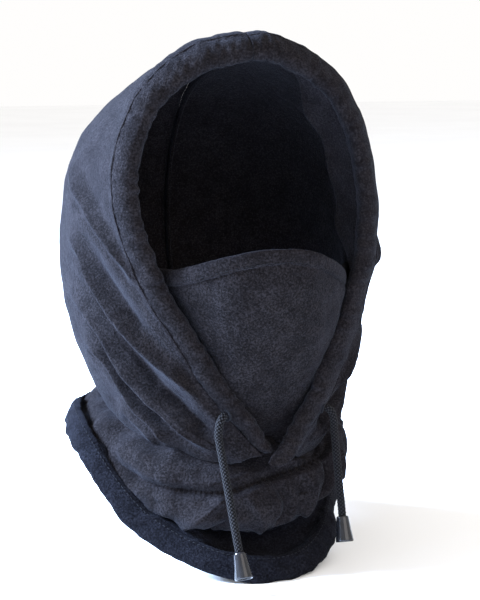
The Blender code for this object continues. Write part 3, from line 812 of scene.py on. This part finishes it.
def neck_surface(turn, down):
    """Points of the neck: down 0 under the hood, about 0.57 at the waist and 1 at the bib's rim."""
    turn, down = np.broadcast_arrays(np.asarray(turn, float), np.asarray(down, float))
    shape, turn, down = turn.shape, turn.reshape(-1), down.reshape(-1)
    bearing = 2 * math.pi * turn
    away = np.stack([np.sin(bearing), -np.cos(bearing)], -1)
    ring = np.array([0, NECK_CENTRE_Y]) + away * NECK_RADII
    chin = np.maximum(0, np.cos(bearing)) ** 24
    seam_z = CENTRE_SEAM[-1][1]
    top_z = THROAT_BACK[1] + (seam_z - THROAT_BACK[1]) * (1 - np.cos(bearing)) / 2
    top_z = top_z + NECK_TOP_RISE + NECK_FRONT_RISE * chin
    waist_z, bulge = round_through(WAIST_Z, turn), round_through(BULGE, turn)
    rim_z, rim = round_through(RIM_Z, turn), round_through(RIM_RADIUS, turn)
    edge = np.array([0, NECK_CENTRE_Y]) + away * rim[:, None]
    trough = np.exp(-((np.angle(np.exp(1j * (bearing - math.radians(8)))) / math.radians(42)) ** 2))
    chin, bulge_out, dip = chin[:, None], bulge[:, None], trough[:, None]
    flat = [
        ring - away * (0.007 + NECK_FRONT_TUCK * chin),
        ring + away * bulge_out * 0.75 * (1 - 0.9 * chin),
        ring + away * bulge_out,
        ring + away * bulge_out * 0.85,
        ring + away * (WAIST_OUT - 0.006 * dip),
        ring + (edge - ring) * (0.34 - 0.22 * dip),
        ring + (edge - ring) * (0.70 - 0.10 * dip),
        edge,
    ]
    neck_drop, bib_drop = waist_z - top_z, rim_z - waist_z
    heights = [
        top_z,
        top_z + neck_drop * 0.22,
        top_z + neck_drop * 0.60,
        top_z + neck_drop * 0.92,
        waist_z,
        waist_z + bib_drop * 0.18 - TROUGH_DEPTH * 0.7 * trough,
        waist_z + bib_drop * 0.50 - TROUGH_DEPTH * trough,
        rim_z,
    ]
    stations = np.stack([np.concatenate([p, z[:, None]], -1) for p, z in zip(flat, heights)])
    return stations_through(stations, down).reshape(*shape, 3)


def from_neck(points):
    return unit(points * [1, 1, 0] - [0, NECK_CENTRE_Y, 0] + np.array([0, 0, 0.02]))


# Each fold of the neck: its line as (turn, down), height and half width in millimetres, and lean.
NECK_FOLDS = [
    (
        [
            (0.74, 0.26), (0.79, 0.30), (0.83, 0.32), (0.88, 0.27),
            (0.94, 0.23), (1.01, 0.20), (1.09, 0.13), (1.13, 0.06),
        ],
        -5.5, 3.2, 0.0,
    ),
    ([(0.77, 0.44), (0.84, 0.46), (0.89, 0.39), (0.94, 0.36), (0.985, 0.36)], 3.0, 6.0, 0.0),
    ([(0.890, 0.52), (0.90, 0.45), (0.93, 0.32), (0.945, 0.26)], 4.5, 3.8, 0.3),
    ([(0.928, 0.50), (0.935, 0.43), (0.955, 0.32)], -4.0, 3.8, 0.0),
    ([(0.965, 0.24), (0.985, 0.36), (0.985, 0.50)], 3.5, 4.5, 0.0),
    ([(1.000, 0.20), (1.014, 0.28), (1.016, 0.36), (1.005, 0.44)], -6.5, 3.8, 0.0),
    ([(1.040, 0.17), (1.052, 0.28), (1.050, 0.38), (1.040, 0.46)], 6.0, 6.0, 0.3),
    ([(1.075, 0.10), (1.085, 0.24), (1.080, 0.34), (1.070, 0.42)], -6.5, 3.6, 0.0),
    ([(1.105, 0.10), (1.115, 0.26), (1.110, 0.42)], 6.0, 6.0, 0.2),
    ([(1.145, 0.12), (1.150, 0.28), (1.140, 0.42)], -5.0, 3.8, 0.0),
    ([(1.02, 0.09), (1.06, 0.12), (1.10, 0.07)], -4.0, 2.8, 0.0),
    ([(1.17, 0.10), (1.24, 0.30), (1.32, 0.44)], 4.5, 5.0, 0.3),
    ([(1.28, 0.08), (1.36, 0.28), (1.46, 0.42)], 4.5, 5.0, 0.3),
    ([(1.42, 0.10), (1.50, 0.30), (1.60, 0.40)], 4.5, 5.0, 0.3),
    ([(1.58, 0.08), (1.66, 0.26), (1.76, 0.40)], 4.5, 5.0, 0.3),
    ([(0.58, 0.76), (0.64, 0.74), (0.70, 0.72), (0.76, 0.74), (0.82, 0.80)], 13.0, 8.0, 0.4),
    ([(0.78, 0.90), (0.84, 0.84), (0.90, 0.86), (0.95, 0.90)], 3.5, 6.0, 0.0),
    ([(1.10, 0.70), (1.20, 0.78), (1.30, 0.80)], 3.5, 7.0, 0.0),
    ([(1.36, 0.76), (1.46, 0.80), (1.56, 0.78)], 3.5, 7.0, 0.0),
]


NECK_ROWS, NECK_COLUMNS = 170, 460
BIB_FROM = 0.56  # the share of the way down where the neck ends and the bib begins


def neck_cloth():
    turn = np.linspace(0, 1, NECK_COLUMNS, endpoint=False)[None, :]
    down = np.linspace(0, 1, NECK_ROWS)[:, None]
    points = neck_surface(turn, down)
    joined = np.concatenate([points, points[:, :1]], 1)
    outward = grid_normals(joined, from_neck(joined))[:, :-1]
    flat = points.reshape(-1, 3)
    keys = np.broadcast_to(down, points.shape[:2]).reshape(-1)
    lift = np.zeros(len(flat))
    for fold, height, width, lean in NECK_FOLDS:
        places = through(fold, np.linspace(0, 1, 70))
        on_line = neck_surface(places[:, 0], places[:, 1])
        lift += fold_heights(flat, keys, on_line, places[:, 1], height / 1000, width / 1000, lean)
    lift = lift.reshape(points.shape[:2])
    lift += 0.0018 * ripple(points, 0.042, 81, 2) + 0.0004 * ripple(points, 0.017, 82)
    lift *= smooth(0, 0.08, down)
    return points + outward * lift[..., None]


neck = grid_object("neck", neck_cloth(), FLEECE_OUT, wrap=True)
# The rings below BIB_FROM take the painted-shade copy of the fleece.
neck.data.materials.append(FLEECE_BIB_PAINTED_SHADE)
rings_from_top = np.arange(len(neck.data.polygons)) // NECK_COLUMNS
neck.data.polygons.foreach_set("material_index", (rings_from_top > BIB_FROM * NECK_ROWS).astype(int))
cloth_layer(faces_along(neck, from_neck))
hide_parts("neck_panel_right", "neck_panel_left")
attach(neck, "hood")


def bib_hem_frame(count):
    turn = np.linspace(0, 1, count, endpoint=False)
    edge, inner = neck_surface(turn, 1.0), neck_surface(turn, 0.97)
    hang = unit(unit(edge - inner) + np.array([0, 0, -1.7]))
    bearing = 2 * math.pi * turn
    around = np.stack([np.cos(bearing), np.sin(bearing), 0 * bearing], -1)
    outward = unit(np.cross(hang, around))
    return edge + hang * (BIB_HEM_HALF_HEIGHT - 0.0012), hang, outward


def bib_hem_cloth():
    centre, hang, outward = bib_hem_frame(460)
    grid = tube_grid(centre, hang, outward, BIB_HEM_HALF_HEIGHT, BIB_HEM_HALF_DEPTH, 40, 0.9)
    away = unit(grid - centre[:, None, :])
    lift = 0.0007 * ripple(grid, 0.016, 91, 2) + 0.0009 * ripple(grid, 0.050, 92, 2)
    return (grid + away * lift[..., None]).transpose(1, 0, 2)


# The bib's hem takes the same painted-shade fleece.
bib_hem = grid_object("bib_hem_cloth", bib_hem_cloth(), FLEECE_BIB_PAINTED_SHADE, ring=True)
if sum(p.area * (p.center.normalized().dot(p.normal)) for p in bib_hem.data.polygons) < 0:
    bib_hem.data.flip_normals()
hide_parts("bib_hem")
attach(bib_hem, "hood")

centre, hang, outward = bib_hem_frame(460)
line = centre - hang * (BIB_HEM_HALF_HEIGHT * 0.72) + outward * (BIB_HEM_HALF_DEPTH * 0.9)
line, facing = np.concatenate([line, line[:1]]), np.concatenate([outward, outward[:1]])
stitches("bib_hem_stitches", line, facing, THREAD, "hood")


# ---- Cords, eyelets, bells and knots --------------------------------------------------------
CAD_TUNNEL_HALF_WIDTH = 0.0145  # the CAD's eyelets stand on its own, slightly wider tunnel
BRAID_STEP = 0.00026
KNOT_RADIUS = 0.0034
EYELET_RAISE = 0.0006  # how far the eyelet's thread stands off the tunnel


def eyelet_place(word):
    angle = np.array([EYELET_ANGLE])
    centre, rearward, normal = (value[0] for value in tunnel_frame(angle, word))
    scale = float(tunnel_scale(EYELET_ANGLE))
    half_width, half_depth = CAD_TUNNEL_HALF_WIDTH * scale, TUNNEL_HALF_DEPTH * (1 + scale) / 2
    rise = math.sqrt(1 - EYELET_SHIFT**2)
    place = centre + rearward * (EYELET_SHIFT * half_width) + normal * (rise * half_depth * 0.98)
    return place, unit(rearward * (EYELET_SHIFT / half_width) + normal * (rise / half_depth))


def cord_route(word):
    """The free end's line, from just outside its eyelet to the top of its bell."""
    place, out = eyelet_place(word)
    start, top = place + out * CORD_CLEAR, np.array(BELL_TOPS[word])
    knee = start + out * 0.006 + np.array([0, 0, -0.014])
    corners = [start, start + out * 0.007, knee + (knee - top) * 0.05, knee]
    t = np.linspace(0, 1, 9)[:, None]
    weights = [(1 - t) ** 3, 3 * (1 - t) ** 2 * t, 3 * (1 - t) * t**2, t**3]
    curve = sum(weight * corner for weight, corner in zip(weights, corners))
    straight = knee + (top - knee) * np.linspace(0, 1, 15)[1:, None]
    return np.concatenate([curve, straight])


def resampled(path, step):
    length = lengths_along(path)
    at = np.linspace(0, length[-1], int(length[-1] / step) + 1)
    fine = interpolated(at, length, path)
    for _ in range(6):
        fine[1:-1] = (fine[:-2] + 2 * fine[1:-1] + fine[2:]) / 4
    return fine, at


def carried_frame(path):
    """Two directions across each point of a line, carried along it without twist."""
    along = unit(np.gradient(path, axis=0))
    first = unit(np.cross(along[0], [0.3, 1.0, 0.2]))
    across = []
    for step in along:
        first = unit(first - step * (first @ step))
        across.append(first)
    across = np.array(across)
    return across, np.cross(along, across)


BELL_HOLD = 0.006  # how far each cord goes on inside its bell, down to the knot
STRANDS = 6
BRAID_PITCH = 0.0144  # length of one strand's turn round the cord


def braid_grid(path, radius):
    """A round cord's surface, of strands that pass over and under each other."""
    fine, at = resampled(path, BRAID_STEP)
    wide, deep = carried_frame(fine)
    turn = np.linspace(0, 1, 64, endpoint=False)[None, :]
    travel = (at / BRAID_PITCH)[:, None]
    one, two = STRANDS * (turn - travel), STRANDS * (turn + travel)
    over = (np.floor(one) + np.floor(two)) % 2 == 0
    first, second = np.sin(math.pi * (one % 1)), np.sin(math.pi * (two % 1))
    height = np.where(over, first**0.7 * second**0.35, second**0.7 * first**0.35)
    size = radius - 0.00050 + 0.00075 * height
    c, s = np.cos(2 * math.pi * turn), np.sin(2 * math.pi * turn)
    across = wide[:, None, :] * c[..., None] + deep[:, None, :] * s[..., None]
    return fine[:, None, :] + across * size[..., None], height


def braid_material():
    """Braided thread with painted shade in the gaps between strands and painted light on their crests,
    following the relief that the mesh marks.
    """
    made, nodes, links, shader = new_material("braid_cord_painted_shade")
    relief = nodes.new("ShaderNodeAttribute")
    relief.attribute_name = "relief"
    place = nodes.new("ShaderNodeTexCoord")
    fibres = noise(nodes, links, place, 1900, 2.0)
    add = nodes.new("ShaderNodeMath")
    add.operation = "MULTIPLY_ADD"
    add.inputs[1].default_value = 0.30
    links.new(fibres.outputs["Fac"], add.inputs[0])
    links.new(relief.outputs["Fac"], add.inputs[2])
    # Painted shade and light: nearly black in the gaps, lighter on the crests of the strands.
    gap, strand, crest_painted_light = (0.0008, 0.0008, 0.0010), (0.0075, 0.0072, 0.0078), (0.0210, 0.0200, 0.0210)
    tone = ramp(nodes, links, add.outputs[0], [(0.45, gap), (0.80, strand), (1.0, crest_painted_light)])
    links.new(tone.outputs["Color"], shader.inputs["Base Color"])
    set_normal(links, shader, bump(nodes, links, fibres.outputs["Fac"], 0.0002, 0.6))
    set_inputs(shader, {"Roughness": 0.80, "Specular IOR Level": 0.06, "Sheen Weight": 0.02})
    return made


BRAID_CORD_PAINTED_SHADE = braid_material()


def turned_grid(profile, place, axis, around=56, wobble=None):
    """A grid turned about an axis, from a profile of (radius, height) points."""
    axis = unit(np.asarray(axis, float))
    wide = unit(np.cross(axis, [0.3, 1.0, 0.1]))
    deep = np.cross(axis, wide)
    turn = np.linspace(0, 2 * math.pi, around, endpoint=False)
    radius = np.array([r for r, _ in profile])[:, None] * np.ones(around)
    height = np.array([h for _, h in profile])[:, None] * np.ones(around)
    if wobble is not None:
        radius = radius + wobble(turn[None, :], height)
    across = wide * np.cos(turn)[:, None] + deep * np.sin(turn)[:, None]
    return np.asarray(place) + across[None] * radius[..., None] + axis * height[..., None]


def rounded_profile(corners, steps=4, cut=0.0005):
    """A profile with each inner corner rounded off."""
    corners = np.array(corners)
    made = [corners[0]]
    for before, here, after in zip(corners[:-2], corners[1:-1], corners[2:]):
        start = here + unit(before - here) * min(cut, np.linalg.norm(before - here) / 2.2)
        end = here + unit(after - here) * min(cut, np.linalg.norm(after - here) / 2.2)
        for share in np.linspace(0, 1, steps):
            made.append(start * (1 - share) ** 2 + here * 2 * share * (1 - share) + end * share**2)
    return made + [corners[-1]]


def eyelet_wraps(place, axis):
    """Overcast thread round the eyelet: a ring whose surface runs in close wraps."""
    axis = unit(axis)
    wide = unit(np.cross(axis, [0.3, 1.0, 0.1]))
    deep = np.cross(axis, wide)
    turn = np.linspace(0, 2 * math.pi, 168, endpoint=False)[None, :]
    section = np.linspace(0, 2 * math.pi, 14, endpoint=False)[:, None]
    wrap = 0.00022 * np.abs(np.sin(14 * turn + 0.8 * np.cos(section)))
    out = EYELET_HOLE + 0.0004 + (0.0009 + wrap) * np.cos(section)
    up = (0.0006 + wrap) * np.sin(section)
    across = wide * np.cos(turn)[..., None] + deep * np.sin(turn)[..., None]
    return np.asarray(place) + across * out[..., None] + axis * up[..., None]


BELL = [
    (0.0030, -0.0008), (0.0030, 0.0004), (0.0037, 0.0006), (0.0041, -0.0004), (0.0049, -0.0079),
    (0.0060, -0.0155), (0.0057, -0.0165), (0.0051, -0.0165), (0.0050, -0.0152), (0.0043, -0.0060),
    (0.0030, -0.0040),
]


def cord_braid(word, route):
    surface, relief = braid_grid(route, CORD_RADIUS)
    made = grid_object(f"cord_{word}", surface, BRAID_CORD_PAINTED_SHADE, wrap=True, close=True)
    # The strands' relief, which sets the painted shade and light in the braid's colour.
    values = made.data.attributes.new("relief", "FLOAT", "POINT").data
    values.foreach_set("value", relief.reshape(-1))

    def from_line(centres):
        nearest = np.linalg.norm(centres[:, None] - route[None], axis=-1).argmin(1)
        return unit(centres - route[nearest])

    faces_along(made, from_line)
    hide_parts(f"drawcord_{word}")
    return made


def cord_bell(word, end, upward):
    surface = turned_grid(rounded_profile(BELL), end, upward)
    made = grid_object(f"bell_{word}", surface, PLASTIC, wrap=True)

    def from_axis(centres):
        return unit((centres - end) - ((centres - end) @ upward)[:, None] * upward)

    faces_along(made, from_axis)
    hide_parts(f"cord_bell_{word}")
    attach(made, f"cord_end_{word}")
    return made


def knot_bumps(turn, height):
    return 0.0004 * np.sin(3 * turn + 900 * height)


def cord_knot(word, middle, upward):
    turns = np.linspace(0.02, math.pi - 0.02, 22)
    ball = [(KNOT_RADIUS * math.sin(t), KNOT_RADIUS * math.cos(t)) for t in turns]
    surface = turned_grid(ball, middle, upward, 40, knot_bumps)
    made = grid_object(f"knot_{word}", surface, BRAID, wrap=True, close=True)
    faces_along(made, lambda centres: unit(centres - middle))
    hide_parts(f"cord_knot_{word}")
    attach(made, f"cord_end_{word}")
    return made


def eyelet_stitching(word, place, out):
    surface = eyelet_wraps(place + out * EYELET_RAISE, out)
    made = grid_object(f"eyelet_stitching_{word}", surface, THREAD, ring=True)
    if sum((p.center - Vector(place)).dot(p.normal) for p in made.data.polygons) < 0:
        made.data.flip_normals()
    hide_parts(f"eyelet_{word}")
    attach(made, "hood")


for word in SIDES:
    place, out = eyelet_place(word)
    route = cord_route(word)
    end, upward = route[-1], unit(route[-2] - route[-1])
    route = np.concatenate([route, [end - upward * BELL_HOLD]])
    braid = cord_braid(word, route)
    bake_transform(braid)
    bell = cord_bell(word, end, upward)
    knot = cord_knot(word, end - upward * KNOT_DEPTH, upward)
    eyelet_stitching(word, place, out)
    fine, _ = resampled(route, BRAID_STEP)


# ---- CAD pieces that stay -------------------------------------------------------------------
for node, material in (("centre_seam", FLEECE_OUT), ("drawcord_run", BRAID)):
    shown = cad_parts[node]
    if len(shown.material_slots):
        for slot in shown.material_slots:
            slot.material = material
    else:
        shown.data.materials.append(material)


# ---- Floor, lights and camera ---------------------------------------------------------------
def stage_material():
    made, nodes, links, shader = new_material("stage")
    place = nodes.new("ShaderNodeTexCoord")
    grain = noise(nodes, links, place, 3.0, 2.0)
    tone = ramp(nodes, links, grain.outputs["Fac"], [(0.3, (0.93,) * 3), (0.7, (0.96,) * 3)])
    links.new(tone.outputs["Color"], shader.inputs["Base Color"])
    shader.inputs["Roughness"].default_value = 0.9
    return made


FLOOR_Z, FLOOR_HALF = -0.2145, 9
floor_corners = [(FLOOR_HALF * x, FLOOR_HALF * y, FLOOR_Z) for x, y in ((-1, -1), (1, -1), (1, 1), (-1, 1))]
floor_mesh = bpy.data.meshes.new("floor")
floor_mesh.from_pydata(floor_corners, [], [(0, 1, 2, 3)])
floor = bpy.data.objects.new("floor", floor_mesh)
bpy.context.scene.collection.objects.link(floor)
floor.data.materials.append(stage_material())

bpy.context.scene.view_settings.view_transform = "Standard"
world = bpy.data.worlds.new("studio")
bpy.context.scene.world = world
world.use_nodes = True
world.node_tree.nodes["Background"].inputs["Color"].default_value = (1.0, 0.99, 0.98, 1)
world.node_tree.nodes["Background"].inputs["Strength"].default_value = 1.0


def area_light(name, place, target, size, power, colour):
    lamp = bpy.data.lights.new(name, "AREA")
    lamp.shape = "DISK"
    lamp.size = size
    lamp.energy = power
    lamp.color = colour
    made = bpy.data.objects.new(name, lamp)
    made.location = place
    made.rotation_mode = "QUATERNION"
    made.rotation_quaternion = (Vector(target) - Vector(place)).to_track_quat("-Z", "Y")
    bpy.context.scene.collection.objects.link(made)


area_light("key", (-1.34, 0.66, 0.76), (0, 0, -0.02), 0.8, 390, (0.52, 0.69, 1.0))
area_light("edge", (-1.25, -0.28, 0.05), (0, -0.1, -0.15), 0.16, 4, (0.40, 0.62, 1.0))
area_light("fill", (0.4, -1.6, 0.9), (0, 0, -0.02), 1.6, 16, (1.0, 0.94, 0.90))

AZIMUTH, ELEVATION, DISTANCE = math.radians(-22), math.radians(9), 1.10
AIM_RIGHT, AIM_UP = 0.0165, -0.0455
away = Vector(
    (
        math.sin(AZIMUTH) * math.cos(ELEVATION),
        -math.cos(AZIMUTH) * math.cos(ELEVATION),
        math.sin(ELEVATION),
    )
)
sideways = Vector((math.cos(AZIMUTH), math.sin(AZIMUTH), 0))
target = sideways * AIM_RIGHT + away.cross(sideways) * AIM_UP
camera = bpy.data.objects.new("camera", bpy.data.cameras.new("camera"))
camera.data.lens = 93.5
camera.data.sensor_width = 36
camera.location = target + away * DISTANCE
camera.rotation_mode = "QUATERNION"
camera.rotation_quaternion = away.to_track_quat("Z", "Y")
bpy.context.scene.collection.objects.link(camera)
bpy.context.scene.camera = camera
